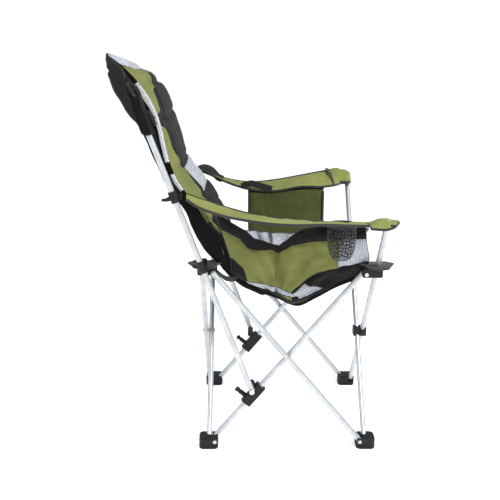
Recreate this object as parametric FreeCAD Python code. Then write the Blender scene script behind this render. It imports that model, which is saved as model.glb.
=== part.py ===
"""Folding camp chair: a scissor frame of steel tubes, a reclining back and a quilted fabric seat.

Millimetres, +Z up, the sitter faces -Y, +X is the sitter's left. While the pieces are drawn,
X = Y = 0 is the middle of the four feet; saved() then moves everything so that the origin lies
under the middle of the chair.
"""
import FreeCAD, Part
import math
import os

V = FreeCAD.Vector
LEFT, RIGHT = 1, -1
FRONT, REAR = -1, 1

# ---- driving dimensions ----------------------------------------------------------------------
SPAN = 428.0            # between the two lower pivots of every crossing pair, along X and along Y alike
FOOT_PIVOT_Z = 24.0
CROSS_Z = 280.0         # where every pair of tubes crosses
TUBE_R = 8.0
TUBE_WALL = 1.2
PIN_R = 3.0
PIVOT_GAP = 0.08        # radial clearance of a tube turning on its pin
LOOSE_GAP = 0.30        # radial clearance where a closed linkage is left open
FACE_GAP = 0.40         # between faces of different moving pieces

SIDE_B_X = 216.0        # plane of the side tubes that rise from the rear feet
SIDE_A_X = 240.0        # plane of the side tubes that rise from the front feet
POST_X = 263.0          # plane of the reclining back posts
CROSS_IN_Y = 230.8      # planes of the front and rear crossing tubes
CROSS_OUT_Y = 247.4

POST_TOP_Z = 1040.0
ARM_POST_TOP_Z = 708.0

SLIDER_BOLT_ALONG = 198.0   # slider measures run along the side tube from its foot pivot
SLIDER_BOLT_OFF = 24.0      # and square to it, towards the back
SLIDER_FROM, SLIDER_TO = 141.0, 213.0
LOCK_ALONG = 159.0
NOTCH = 62.0                # pitch of the locking holes
LOCK_HOLES = (-2, -1, 0, 1)

GUIDE_Y, GUIDE_Z = 244.4, 561.0
SHIFT_Y = -104.5            # puts the origin under the middle of the chair's box

# ---- what follows from them ------------------------------------------------------------------
HALF = SPAN / 2
HUB_PIVOT_Z = 2 * CROSS_Z - FOOT_PIVOT_Z
RISE = HUB_PIVOT_Z - FOOT_PIVOT_Z
TUBE_LENGTH = math.hypot(SPAN, RISE)
LEAN_ACROSS, LEAN_UP = SPAN / TUBE_LENGTH, RISE / TUBE_LENGTH
ALONG_B = V(0, -LEAN_ACROSS, LEAN_UP)
OFF_B = V(0, LEAN_UP, LEAN_ACROSS)
X_AXIS, Y_AXIS, Z_AXIS = V(1, 0, 0), V(0, 1, 0), V(0, 0, 1)


def on_b(along, off, x=SIDE_B_X):
    """A point beside the left rear-foot side tube: how far along it from its pivot, and how far off it."""
    return V(x, HALF, FOOT_PIVOT_Z) + ALONG_B * along + OFF_B * off


SLIDER_BOLT = on_b(SLIDER_BOLT_ALONG, SLIDER_BOLT_OFF, POST_X)
GUIDE = V(POST_X, GUIDE_Y, GUIDE_Z)
POST_WAY = (GUIDE - SLIDER_BOLT).normalize()


def on_post(z):
    """The point of the left back post's axis at height z."""
    return SLIDER_BOLT + POST_WAY * ((z - SLIDER_BOLT.z) / POST_WAY.z)


def rod(start, end, radius):
    way = end - start
    return Part.makeCylinder(radius, way.Length, start, way)


def ring(start, end, outer, inner):
    return rod(start, end, outer).cut(rod(start, end, inner))


def box(low, high):
    size = V(*high) - V(*low)
    return Part.makeBox(size.x, size.y, size.z, V(*low))


def fused(*shapes):
    return shapes[0].multiFuse(list(shapes[1:])).removeSplitter()


def group(*shapes):
    return Part.makeCompound(list(shapes))


def left_to_right(shape):
    return shape.mirror(V(0, 0, 0), X_AXIS)


def on_side(shape, side):
    return shape if side == LEFT else left_to_right(shape)


def hollow_tube(start, end, wall=TUBE_WALL):
    """A tube with rounded closed ends centred on its two pivots."""
    outer = fused(rod(start, end, TUBE_R), *(Part.makeSphere(TUBE_R, p) for p in (start, end)))
    return outer.cut(rod(start, end, TUBE_R - wall))


def pin_hole(shape, at, axis, gap=PIVOT_GAP, radius=PIN_R, reach=40):
    return shape.cut(rod(at - axis * reach, at + axis * reach, radius + gap))


def headed_pin(outside, inside, radius=PIN_R, head_radius=5.6, head_height=2.2):
    """A round pin from its head's outer face, at outside, to its tip, at inside."""
    way = (inside - outside).normalize()
    head = rod(outside, outside + way * head_height, head_radius)
    edges = [e for e in head.Edges if abs(e.CenterOfMass.distanceToPoint(outside)) < 0.01]
    head = head.makeFillet(head_height * 0.45, edges)
    return fused(head, rod(outside + way * head_height * 0.5, inside, radius))


def saved(node, shape):
    moved = shape.copy()
    moved.translate(V(0, SHIFT_Y, 0))
    moved.exportStep(f"parts/{node}.step")


# ---- feet ------------------------------------------------------------------------------------
FOOT_X, FOOT_Y = (201.0, 255.0), (204.0, 260.0)
FOOT_TOP = 33.0
SLOT = TUBE_R + 0.5
SLOT_END = HALF + TUBE_R + 0.55


def rounded_block(x, y, z, corner, edge):
    """A block with round upright corners and softened top and bottom edges."""
    block = box((x[0], y[0], z[0]), (x[1], y[1], z[1]))
    upright = [e for e in block.Edges if abs(e.tangentAt(e.FirstParameter).z) > 0.9]
    block = block.makeFillet(corner, upright)
    flat = [e for e in block.Edges if min(abs(e.CenterOfMass.z - z[0]), abs(e.CenterOfMass.z - z[1])) < 0.01]
    return block.makeFillet(edge, flat)


def foot_and_bolts(side, end, side_plane, cross_plane):
    """A moulded foot for the left front, mirrored as needed, with its two pivot bolts."""
    foot = rounded_block(FOOT_X, FOOT_Y, (0, FOOT_TOP), 13, 3)
    foot = foot.cut(box((side_plane - SLOT, 190, FOOT_PIVOT_Z - SLOT), (side_plane + SLOT, SLOT_END, 60)))
    foot = foot.cut(box((190, cross_plane - SLOT, FOOT_PIVOT_Z - SLOT), (SLOT_END, cross_plane + SLOT, 60)))
    side_pivot = V(side_plane, HALF, FOOT_PIVOT_Z)
    cross_pivot = V(HALF, cross_plane, FOOT_PIVOT_Z)
    side_tip = V(side_plane - TUBE_R - (4 if side_plane < SIDE_A_X else 10), HALF, FOOT_PIVOT_Z)
    cross_tip = V(HALF, max(cross_plane - TUBE_R - 10, SLOT_END + 0.4), FOOT_PIVOT_Z)
    side_head = V(FOOT_X[1] + 1.4, HALF, FOOT_PIVOT_Z)
    cross_head = V(HALF, FOOT_Y[1] + 1.4, FOOT_PIVOT_Z)
    bolts = [headed_pin(side_head, side_tip), headed_pin(cross_head, cross_tip)]
    for bolt in bolts:
        foot = foot.cut(bolt)
    foot = ribbed(foot)
    # drawn at +X, +Y: the rear left corner
    if end == FRONT:
        foot = foot.mirror(V(0, 0, 0), Y_AXIS)
        bolts = [b.mirror(V(0, 0, 0), Y_AXIS) for b in bolts]
    return on_side(foot, side), on_side(group(*bolts), side)


def ribbed(foot):
    """Shallow grip grooves around the foot's waist."""
    for z in (7.0, 11.0):
        outer = rounded_block((FOOT_X[0] - 2, FOOT_X[1] + 2), (FOOT_Y[0] - 2, FOOT_Y[1] + 2),
                              (z, z + 1.6), 15, 0.2)
        inner = rounded_block((FOOT_X[0] + 1, FOOT_X[1] - 1), (FOOT_Y[0] + 1, FOOT_Y[1] - 1),
                              (z - 1, z + 2.6), 12, 0.2)
        foot = foot.cut(outer.cut(inner))
    return foot


# ---- hubs ------------------------------------------------------------------------------------
HUB_LOW, HUB_TOP = 527.0, 552.0


def rear_hub(side, cross_plane):
    """The rear upper joint: side tube A outside it, a crossing tube in its slot, the guide's boss on top."""
    block = rounded_block((201, SIDE_A_X - TUBE_R - FACE_GAP), FOOT_Y, (HUB_LOW, HUB_TOP), 5, 2)
    block = block.cut(box((190, cross_plane - SLOT, 500), (SLOT_END, cross_plane + SLOT, HUB_PIVOT_Z + SLOT)))
    tab = rounded_block((216, SIDE_A_X - TUBE_R - FACE_GAP), (232, 257), (HUB_TOP - 8, GUIDE_Z + 13),
                        4, 1.5)
    boss_face = V(POST_X - TUBE_R - 4.7, GUIDE_Y, GUIDE_Z)
    boss = rod(V(220, GUIDE_Y, GUIDE_Z), boss_face, 9)
    hub = fused(block, tab, boss)
    outer_face = SIDE_A_X + TUBE_R + 2.3
    side_bolt = headed_pin(V(outer_face, HALF, HUB_PIVOT_Z), V(205, HALF, HUB_PIVOT_Z), head_height=2.0)
    cross_tip = V(HALF, max(cross_plane - TUBE_R - 10, SLOT_END + 0.4), HUB_PIVOT_Z)
    cross_bolt = headed_pin(V(HALF, FOOT_Y[1] + 1.4, HUB_PIVOT_Z), cross_tip)
    hub = hub.cut(side_bolt).cut(cross_bolt)
    return on_side(hub, side), on_side(group(side_bolt, cross_bolt), side)


def front_hub(side, cross_plane):
    """The front upper joint: side tube B in its slot, a front tube passing through on its way to the arm."""
    block = rounded_block(FOOT_X, FOOT_Y, (HUB_LOW, HUB_TOP), 5, 2)
    block = block.cut(box((SIDE_B_X - SLOT, 190, 500), (SIDE_B_X + SLOT, SLOT_END, HUB_PIVOT_Z + SLOT)))
    block = block.cut(box((190, cross_plane - SLOT, 500), (242, cross_plane + SLOT, 580)))
    side_bolt = headed_pin(V(FOOT_X[1] + 1.4, HALF, HUB_PIVOT_Z), V(203, HALF, HUB_PIVOT_Z))
    cross_tip = V(HALF, max(cross_plane - TUBE_R - 10, SLOT_END + 0.4), HUB_PIVOT_Z)
    cross_bolt = headed_pin(V(HALF, FOOT_Y[1] + 1.4, HUB_PIVOT_Z), cross_tip)
    hub = block.cut(side_bolt).cut(cross_bolt)
    hub, bolts = (s.mirror(V(0, 0, 0), Y_AXIS) for s in (hub, group(side_bolt, cross_bolt)))
    return on_side(hub, side), on_side(bolts, side)


# ---- crossing tubes --------------------------------------------------------------------------
def side_tubes():
    """Left tubes A, from the front foot to the rear hub, and B, from the rear foot to the front hub."""
    a_low, a_high = V(SIDE_A_X, -HALF, FOOT_PIVOT_Z), V(SIDE_A_X, HALF, HUB_PIVOT_Z)
    b_low, b_high = V(SIDE_B_X, HALF, FOOT_PIVOT_Z), V(SIDE_B_X, -HALF, HUB_PIVOT_Z)
    a = hollow_tube(a_low, a_high)
    b = hollow_tube(b_low, b_high)
    for at in (a_low, V(SIDE_A_X, 0, CROSS_Z)):
        a = pin_hole(a, at, X_AXIS)
    a = pin_hole(a, a_high, X_AXIS, LOOSE_GAP)
    for at in (b_low, b_high):
        b = pin_hole(b, at, X_AXIS)
    b = b.cut(rod(V(200, 0, CROSS_Z), V(230, 0, CROSS_Z), PIN_R))
    for notch in LOCK_HOLES:
        hole = on_b(LOCK_ALONG + notch * NOTCH, 0)
        b = b.cut(rod(hole, hole + OFF_B * 12, 3.4))
    return a, b


def side_cross_bolt():
    """The left crossing bolt with the spacer that keeps the two side tubes apart."""
    low, high = SIDE_B_X - TUBE_R - 2.3, SIDE_A_X + TUBE_R + 2.3
    shank = headed_pin(V(high, 0, CROSS_Z), V(low + 0.5, 0, CROSS_Z), head_height=2.0)
    nut = ring(V(low, 0, CROSS_Z), V(low + 2.2, 0, CROSS_Z), 5.5, PIN_R)
    gap_from, gap_to = SIDE_B_X + TUBE_R, SIDE_A_X - TUBE_R - FACE_GAP
    spacer = ring(V(gap_from, 0, CROSS_Z), V(gap_to, 0, CROSS_Z), 7.5, PIN_R)
    spacer = spacer.cut(rod(*side_tube_axis_b(), TUBE_R))
    return group(shank, nut, spacer)


def side_tube_axis_b():
    return V(SIDE_B_X, HALF, FOOT_PIVOT_Z), V(SIDE_B_X, -HALF, HUB_PIVOT_Z)


def cross_tube(bottom_side, plane, top_z=None, loose_foot=False, loose_hub=False):
    """A front or rear tube in the plane Y = plane, from the foot at bottom_side up to the opposite hub."""
    low = V(bottom_side * HALF, plane, FOOT_PIVOT_Z)
    high = V(-bottom_side * HALF, plane, HUB_PIVOT_Z)
    top = high if top_z is None else low + (high - low) * ((top_z - low.z) / (high.z - low.z))
    tube = hollow_tube(low, top)
    tube = pin_hole(tube, low, Y_AXIS, LOOSE_GAP if loose_foot else PIVOT_GAP, reach=12)
    tube = pin_hole(tube, high, Y_AXIS, LOOSE_GAP if loose_hub else PIVOT_GAP, reach=12)
    return pin_hole(tube, V(0, plane, CROSS_Z), Y_AXIS, reach=12)


def rear_cross_bolt():
    """Through both rear tubes where they cross."""
    inner, outer = CROSS_IN_Y - TUBE_R - 2.3, CROSS_OUT_Y + TUBE_R + 2.3
    shank = headed_pin(V(0, outer, CROSS_Z), V(0, inner + 0.5, CROSS_Z), head_height=2.0)
    nut = ring(V(0, inner, CROSS_Z), V(0, inner + 2.0, CROSS_Z), 5.5, PIN_R)
    return group(shank, nut)


CLAMP_HALF_X, CLAMP_HALF_Z = 17.0, 13.5


def front_clamp(plane, bottom_side):
    """One moulded half of the front clamp, a saddle on the outer side of its tube, square to the floor."""
    outward = -1 if plane < -(CROSS_IN_Y + CROSS_OUT_Y) / 2 else 1
    inner, outer = plane - outward * (TUBE_R - 0.1), plane + outward * (TUBE_R + 4.0)
    y = (min(inner, outer), max(inner, outer))
    z = (CROSS_Z - CLAMP_HALF_Z, CROSS_Z + CLAMP_HALF_Z)
    block = rounded_block((-CLAMP_HALF_X, CLAMP_HALF_X), y, z, 3, 1)
    way = V(-bottom_side * LEAN_ACROSS, 0, LEAN_UP)
    middle = V(0, plane, CROSS_Z)
    block = block.cut(rod(middle - way * 40, middle + way * 40, TUBE_R + 0.02))
    return block.cut(rod(V(0, plane - 20, CROSS_Z), V(0, plane + 20, CROSS_Z), PIN_R + PIVOT_GAP))


def front_clamp_bolt():
    outer, inner = -(CROSS_OUT_Y + TUBE_R + 6.1), -(CROSS_IN_Y - TUBE_R - 6.1)
    shank = headed_pin(V(0, outer, CROSS_Z), V(0, inner - 0.5, CROSS_Z), head_height=2.0)
    nut = ring(V(0, inner - 2.0, CROSS_Z), V(0, inner, CROSS_Z), 5.5, PIN_R)
    return group(shank, nut)


# ---- recline: slider, lock, link, back post, guide -------------------------------------------
def slider():
    """The left slider: a block around side tube B, an ear for the back post, a housing for the lock pin."""
    middle = on_b((SLIDER_FROM + SLIDER_TO) / 2, 0)
    length = SLIDER_TO - SLIDER_FROM
    block = Part.makeBox(TUBE_R * 2 + 7.4, 32, length, V(-TUBE_R - 3.7, -16, -length / 2))
    block = block.makeFillet(5, [e for e in block.Edges if abs(e.tangentAt(e.FirstParameter).z) > 0.9])
    turn = FreeCAD.Rotation(X_AXIS, math.degrees(math.atan2(LEAN_ACROSS, LEAN_UP)))
    block.Placement = FreeCAD.Placement(middle, turn)
    ear_from, ear_to = SIDE_B_X - TUBE_R - 3.7, POST_X - TUBE_R - 3.0
    ear = rod(V(ear_from, SLIDER_BOLT.y, SLIDER_BOLT.z), V(ear_to, SLIDER_BOLT.y, SLIDER_BOLT.z), 10)
    housing = rod(on_b(LOCK_ALONG, 10), on_b(LOCK_ALONG, 31), 7)
    body = fused(block, ear, housing)
    body = body.cut(rod(on_b(0, 0), on_b(400, 0), TUBE_R + 0.35))
    body = body.cut(rod(on_b(LOCK_ALONG, 0), on_b(LOCK_ALONG, 40), 3.1))
    body = body.cut(rod(on_b(LOCK_ALONG, 12), on_b(LOCK_ALONG, 27), 5.2))
    return body.cut(slider_bolt())


def slider_bolt():
    """The shouldered bolt that joins the left slider's ear to the back post."""
    tip = V(SIDE_B_X - TUBE_R, SLIDER_BOLT.y, SLIDER_BOLT.z)
    head = V(POST_X + TUBE_R + 5.5, SLIDER_BOLT.y, SLIDER_BOLT.z)
    return headed_pin(head, tip, 4.0, 7.5, 3.0)


def lock_pin():
    """The left spring-loaded lock pin with its pull knob; its tip stands just clear of the tube."""
    shank = rod(on_b(LOCK_ALONG, TUBE_R + 0.45), on_b(LOCK_ALONG, 40), 3.0)
    collar = rod(on_b(LOCK_ALONG, 12.3), on_b(LOCK_ALONG, 14.3), 4.9)
    knob = rod(on_b(LOCK_ALONG, 31.4), on_b(LOCK_ALONG, 51), 7.2)
    knob = knob.makeFillet(2.2, [e for e in knob.Edges if e.Length > 40])
    waist = ring(on_b(LOCK_ALONG, 36), on_b(LOCK_ALONG, 42), 12, 5.4)
    return fused(shank, collar, knob.cut(waist))


def lock_spring():
    """The left lock's coil spring, between the pin's collar and the housing's end."""
    radius, wire, low, high = 4.1, 0.45, 14.9, 26.4
    turns, steps = 4.5, 36
    points = []
    for step in range(steps + 1):
        angle = 2 * math.pi * turns * step / steps
        rise = (high - low) * step / steps
        points.append(V(radius * math.cos(angle), radius * math.sin(angle), rise))
    line = Part.BSplineCurve()
    line.interpolate(points)
    start = line.tangent(line.FirstParameter)[0]
    section = Part.Wire(Part.Circle(points[0], start, wire).toShape())
    coil = Part.Wire(line.toShape()).makePipeShell([section], True, True)
    turn = FreeCAD.Rotation(Z_AXIS, OFF_B)
    coil.Placement = FreeCAD.Placement(on_b(LOCK_ALONG, low), turn)
    return coil


def link_bush():
    """The left flanged bush between the slider bolt and the back post's eye."""
    at = V(0, SLIDER_BOLT.y, SLIDER_BOLT.z)
    inner, outer = POST_X - TUBE_R - 2.6, POST_X + TUBE_R + 2.0
    flange = rod(at + X_AXIS * inner, at + X_AXIS * (inner + 2.0), 9.0)
    sleeve = rod(at + X_AXIS * inner, at + X_AXIS * outer, 5.6)
    return fused(flange, sleeve).cut(rod(at + X_AXIS * 240, at + X_AXIS * 290, 4.0 + PIVOT_GAP))


def back_post():
    """The left back post, from its eye on the slider to its top inside the hood."""
    tube = hollow_tube(SLIDER_BOLT, on_post(POST_TOP_Z))
    eye = SLIDER_BOLT
    return pin_hole(tube, eye, X_AXIS, PIVOT_GAP, 5.6)


def guide_liner():
    """The sleeve on the left back post that runs inside the guide."""
    return ring(GUIDE - POST_WAY * 13, GUIDE + POST_WAY * 13, TUBE_R + 1.7, TUBE_R + 0.3)


def post_guide():
    """The guide that holds the left back post beside the rear hub."""
    barrel = rod(GUIDE - POST_WAY * 17, GUIDE + POST_WAY * 17, TUBE_R + 4.2)
    face = POST_X - TUBE_R - 4.3
    pad = rod(V(face, GUIDE.y, GUIDE.z), V(face + 6, GUIDE.y, GUIDE.z), 11)
    return fused(barrel, pad).cut(rod(GUIDE - POST_WAY * 30, GUIDE + POST_WAY * 30, TUBE_R + 2.0))


def collar():
    """The left collar clamped on the back post, with the thin wing that sweeps back and down from it."""
    low, high = on_post(742), on_post(772)
    body = rod(low, high, TUBE_R + 4)
    root = on_post(757)
    outline = [(5, 12), (10, 6), (15, 0), (22, -4), (33, -6), (34, -12), (20, -12.5), (10, -11), (5, -9)]
    wing = slab([(POST_X - 4, root.y + y, root.z + z) for y, z in outline], V(8, 0, 0))
    wing = wing.makeFillet(1.2, [e for e in wing.Edges if abs(e.tangentAt(e.FirstParameter).x) < 0.1])
    ear = box((POST_X - 3, root.y - 22, root.z - 8), (POST_X + 3, root.y - 6, root.z + 8))
    ear = ear.makeFillet(2.5, ear.Edges)
    ear = ear.cut(rod(root + V(-9, -15, 0), root + V(9, -15, 0), 3))
    return fused(body, wing, ear).cut(rod(on_post(700), on_post(820), TUBE_R))


# ---- fabric, as plain closed solids ----------------------------------------------------------
def slab(corners, thickness):
    """A flat sheet with the given corners, thickened by the vector thickness."""
    return Part.Face(Part.makePolygon([V(*c) for c in corners + corners[:1]])).extrude(thickness)


def loft(sections):
    wires = [Part.makePolygon([V(*p) for p in section + section[:1]]) for section in sections]
    return Part.makeLoft(wires, True, True)


def seat():
    """A quilted trough between the four hubs: (Y, half width, top at the middle, thickness)."""
    rows = [(-214, 172, 566, 16), (-190, 172, 540, 24), (-110, 162, 486, 28), (-25, 156, 462, 28),
            (70, 162, 486, 28), (150, 170, 522, 28), (190, 172, 546, 24)]
    return loft([[(-w, y, z), (w, y, z), (w, y, z - t), (-w, y, z - t)] for y, w, z, t in rows])


PANEL_LEAN = 0.36
PANEL_X, PANEL_Z = 205.0, 540.0


# the cloth's upper and lower outlines, front to rear; it is slack and low on the cooler bag's side
PANEL_TOP = {
    RIGHT: [(-192, 560), (-196, 683), (-90, 680), (-36, 668), (-3, 653), (37, 621), (95, 634), (117, 659),
            (170, 690), (196, 700)],
    LEFT: [(-192, 560), (-194, 577), (-100, 566), (-22, 556), (18, 558), (118, 564), (188, 578)],
}
PANEL_LOW = [(186, 560), (150, 512), (70, 472), (-25, 448), (-110, 472)]


def side_panel(side):
    """One side of the bucket, drawn on the left, from the seat's edge upwards."""
    corners = [(PANEL_X + (z - PANEL_Z) * PANEL_LEAN, y, z) for y, z in PANEL_TOP[side] + PANEL_LOW]
    return slab(corners, V(-9, 0, 0))


BACK_HALF = 243.0
BACK_FRONT = [(214, 582), (232, 660), (252, 740), (284, 800), (306, 848), (323, 883), (334, 926),
              (346, 976), (362, 1014), (380, 1044), (406, 1070), (440, 1096), (470, 1116)]
BACK_REAR = [(482, 1128), (486, 1090), (470, 1050), (448, 1009), (426, 970), (404, 926), (380, 868),
             (348, 800), (318, 740), (288, 680), (246, 590)]


def backrest():
    """The quilted back, one outline swept from side to side."""
    outline = [(-BACK_HALF, y, z) for y, z in BACK_FRONT + BACK_REAR]
    return slab(outline, V(2 * BACK_HALF, 0, 0))


def backrest_hood():
    """The hood over the tops of both back posts: behind the back and down both of its edges."""
    low = 930.0
    rear = [(497, 1138), (502, 1090), (486, 1046), (464, 1004), (442, 966), (422, low)]
    front = [(336, low), (346, 976), (362, 1014), (380, 1044), (406, 1070), (440, 1096), (470, 1120)]
    half = POST_X + TUBE_R + 5
    whole = slab([(-half, y, z) for y, z in front + rear], V(2 * half, 0, 0))
    inner = slab([(-BACK_HALF - 0.1, y - (0.1 if y < 430 else 0), z) for y, z in BACK_FRONT + BACK_REAR],
                 V(2 * BACK_HALF + 0.2, 0, 0))
    opening = [(300, 900), (300, 1124), (470, 1124), (440, 1096), (380, 900)]
    lining = slab([(-BACK_HALF - 0.1, y, z) for y, z in opening], V(2 * BACK_HALF + 0.2, 0, 0))
    whole = whole.cut(inner).cut(lining)
    for side in (LEFT, RIGHT):
        top = on_post(POST_TOP_Z)
        pocket = rod(on_post(900), top + POST_WAY * (TUBE_R + 5), TUBE_R + 2.6)
        whole = whole.cut(on_side(pocket, side))
    return whole


ARM_IN, ARM_OUT = 258.0, 356.0
ARM_LINE = [(296, 752), (274, 744), (205, 714), (115, 700), (20, 692), (-60, 692), (-145, 694),
            (-196, 700)]
ARM_THICK = 11.0


def arm():
    """The left padded arm strip, from the collar forward to the pocket over the arm post."""
    top = ARM_LINE
    under = [(y, z - ARM_THICK) for y, z in reversed(ARM_LINE)]
    strip = slab([(ARM_IN, y, z) for y, z in top + under], V(ARM_OUT - ARM_IN, 0, 0))
    # the strip narrows towards the collar
    corners = [(ARM_IN + 20, 300, 600), (ARM_OUT + 1, 300, 600), (ARM_OUT + 1, 120, 600)]
    taper = slab(corners, V(0, 0, 300))
    post_room = rod(on_post(600), on_post(900), TUBE_R + 14)
    return strip.cut(taper).cut(post_room)


def arm_pocket():
    """The left pocket at the arm's front end, pulled over the top of the arm post."""
    low, high = V(ARM_IN + 40, -272, 697), V(ARM_OUT + 34, -196.2, 735)
    shell = rounded_block((low.x, high.x), (low.y, high.y), (low.z, high.z), 22, 9)
    hollow = rounded_block((low.x + 5, high.x - 5), (low.y + 5, high.y - 6), (low.z - 30, high.z - 5),
                           17, 6)
    return shell.cut(hollow)


CUP_X, CUP_Y, CUP_TOP, CUP_LOW = 308.0, -127.0, 694.0, 584.0
CUP_TOP_R, CUP_LOW_R, CUP_WALL = 40.0, 27.0, 2.0


def cup_holder():
    """The mesh cup pouch that hangs in the right arm."""
    outer = Part.makeCone(CUP_LOW_R, CUP_TOP_R, CUP_TOP - CUP_LOW, V(-CUP_X, CUP_Y, CUP_LOW))
    inner = Part.makeCone(CUP_LOW_R - CUP_WALL, CUP_TOP_R - CUP_WALL, CUP_TOP - CUP_LOW,
                          V(-CUP_X, CUP_Y, CUP_LOW + CUP_WALL))
    return outer.cut(inner)


BAG_Y, BAG_Z, BAG_WALL = (-143.0, 114.0), (528.0, 676.0), 5.0
BAG_X = (262.0, 356.0)


def cooler_bag():
    """The cooler bag under the left arm: an open box with padded walls."""
    shell = rounded_block(BAG_X, BAG_Y, BAG_Z, 14, 4)
    x = (BAG_X[0] + BAG_WALL, BAG_X[1] - BAG_WALL)
    y = (BAG_Y[0] + BAG_WALL, BAG_Y[1] - BAG_WALL)
    hollow = rounded_block(x, y, (BAG_Z[0] + BAG_WALL, BAG_Z[1] + 20), 9, 3)
    return shell.cut(hollow)


PATCH = [(0, -46), (34, -28), (40, 0), (34, 28), (0, 46), (-34, 28), (-40, 0), (-34, -28)]


def corner_patch(end, cross_plane):
    """The left textured patch that carries a corner of the seat on top of its hub."""
    middle_x, middle_y = (222, FRONT * 247) if end == FRONT else (212, 238)
    patch = slab([(middle_x + x, middle_y + y, HUB_TOP) for x, y in PATCH], V(0, 0, 5))
    if end == FRONT:
        for z in (HUB_TOP - 5, HUB_TOP + 10):
            x = HALF + (z - HUB_PIVOT_Z) * LEAN_ACROSS / LEAN_UP
            patch = patch.cut(rod(V(x, -cross_plane, z - 20), V(x, -cross_plane, z + 20), TUBE_R + 6))
        return patch
    patch = patch.cut(box((200, 228, 500), (260, 262, 600)))
    return patch.cut(box((SIDE_A_X - TUBE_R - 6, 150, 500), (300, 300, 600)))


def main():
    os.makedirs("parts", exist_ok=True)
    names = {LEFT: "left", RIGHT: "right"}
    # each foot's crossing-tube plane; the same tube ends at the hub on the other side
    front_foot_plane = {RIGHT: CROSS_IN_Y, LEFT: CROSS_OUT_Y}
    rear_foot_plane = {RIGHT: CROSS_IN_Y, LEFT: CROSS_OUT_Y}
    for side, name in names.items():
        corners = {
            f"foot_front_{name}": foot_and_bolts(side, FRONT, SIDE_A_X, front_foot_plane[side]),
            f"foot_rear_{name}": foot_and_bolts(side, REAR, SIDE_B_X, rear_foot_plane[side]),
            f"hub_front_{name}": front_hub(side, front_foot_plane[-side]),
            f"hub_rear_{name}": rear_hub(side, rear_foot_plane[-side]),
        }
        for node, (body, bolts) in corners.items():
            saved(node, body)
            saved(f"{node}_bolts", bolts)
        tube_a, tube_b = side_tubes()
        pieces = {
            "side_tube_a": tube_a, "side_tube_b": tube_b, "side_cross_bolt": side_cross_bolt(),
            "slider": slider(), "slider_bolt": slider_bolt(),
            "lock_pin": lock_pin(), "lock_spring": lock_spring(),
            "link_bush": link_bush(), "back_post": back_post(), "collar": collar(),
            "guide_liner": guide_liner(), "post_guide": post_guide(), "side_panel": side_panel(side),
            "patch_front": corner_patch(FRONT, front_foot_plane[-side]),
            "patch_rear": corner_patch(REAR, rear_foot_plane[-side]),
        }
        for piece, shape in pieces.items():
            saved(f"{piece}_{name}", on_side(shape, side))
    saved("front_tube_1", cross_tube(RIGHT, -CROSS_IN_Y, ARM_POST_TOP_Z, loose_hub=True))
    saved("front_tube_2", cross_tube(LEFT, -CROSS_OUT_Y, ARM_POST_TOP_Z, loose_foot=True, loose_hub=True))
    saved("rear_tube_1", cross_tube(RIGHT, CROSS_IN_Y))
    saved("rear_tube_2", cross_tube(LEFT, CROSS_OUT_Y, loose_hub=True))
    saved("rear_cross_bolt", rear_cross_bolt())
    saved("front_clamp_inner", front_clamp(-CROSS_IN_Y, RIGHT))
    saved("front_clamp_outer", front_clamp(-CROSS_OUT_Y, LEFT))
    saved("front_clamp_bolt", front_clamp_bolt())
    saved("seat", seat())
    saved("backrest", group(backrest(), backrest_hood()))
    cup_room = Part.makeCone(CUP_LOW_R, CUP_TOP_R + 2, CUP_TOP - CUP_LOW + 1, V(-CUP_X, CUP_Y, CUP_LOW))
    rim = V(-CUP_X, CUP_Y, CUP_TOP)
    cup_room = cup_room.fuse(rod(rim - Z_AXIS * 20, rim + Z_AXIS * 20, CUP_TOP_R + 0.5))
    saved("arm_right", group(left_to_right(arm()).cut(cup_room), left_to_right(arm_pocket())))
    saved("arm_left", group(arm(), arm_pocket()))
    saved("cup_holder", cup_holder())
    saved("cooler_bag", cooler_bag())


main()
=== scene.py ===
"""Folding camp chair: cloth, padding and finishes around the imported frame.

Tables are in millimetres with X = Y = 0 in the middle of the four feet; make() turns them into metres in
the row frame. Left and right are the sitter's; the right side is X < 0 and the front is Y < 0.
"""
import math

import bpy
import numpy as np
from mathutils import Matrix, Vector, noise


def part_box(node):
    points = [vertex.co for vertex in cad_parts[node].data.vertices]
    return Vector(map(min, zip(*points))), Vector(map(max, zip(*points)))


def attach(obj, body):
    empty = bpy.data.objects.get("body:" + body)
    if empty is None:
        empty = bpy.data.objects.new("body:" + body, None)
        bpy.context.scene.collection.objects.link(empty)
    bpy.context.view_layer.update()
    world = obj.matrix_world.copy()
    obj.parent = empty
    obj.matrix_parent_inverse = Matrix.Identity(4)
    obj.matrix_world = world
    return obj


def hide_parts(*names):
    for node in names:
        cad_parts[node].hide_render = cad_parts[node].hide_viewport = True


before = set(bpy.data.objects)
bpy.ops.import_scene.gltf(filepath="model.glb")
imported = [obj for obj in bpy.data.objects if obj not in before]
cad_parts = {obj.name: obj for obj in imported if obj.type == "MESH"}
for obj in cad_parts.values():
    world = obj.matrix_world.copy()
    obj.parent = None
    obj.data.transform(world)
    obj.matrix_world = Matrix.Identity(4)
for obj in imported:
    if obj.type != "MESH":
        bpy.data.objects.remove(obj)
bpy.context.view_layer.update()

MM = 0.001
FEET_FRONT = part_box("foot_front_left")[0].y
FEET_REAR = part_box("foot_rear_left")[1].y
MIDDLE_Y = (FEET_FRONT + FEET_REAR) / 2
SIDES = {"left": 1, "right": -1}


# ---- finishes ------------------------------------------------------------------------------------
def rgb(r, g, b):
    """Screen values 0 to 255 as a linear colour."""
    shares = (c / 255 for c in (r, g, b))
    return tuple(((c + 0.055) / 1.055) ** 2.4 if c > 0.04 else c / 12.92 for c in shares) + (1.0,)


OLIVE = rgb(117, 122, 68)
ARM_OLIVE = rgb(134, 140, 78)
BAG_OLIVE = rgb(76, 84, 44)
CHARCOAL = rgb(26, 23, 26)
BLACK = rgb(8, 8, 10)
PALE = rgb(206, 211, 220)
PALE_HOLES = rgb(104, 110, 122)
NET_PITCH = 0.0052


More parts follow.
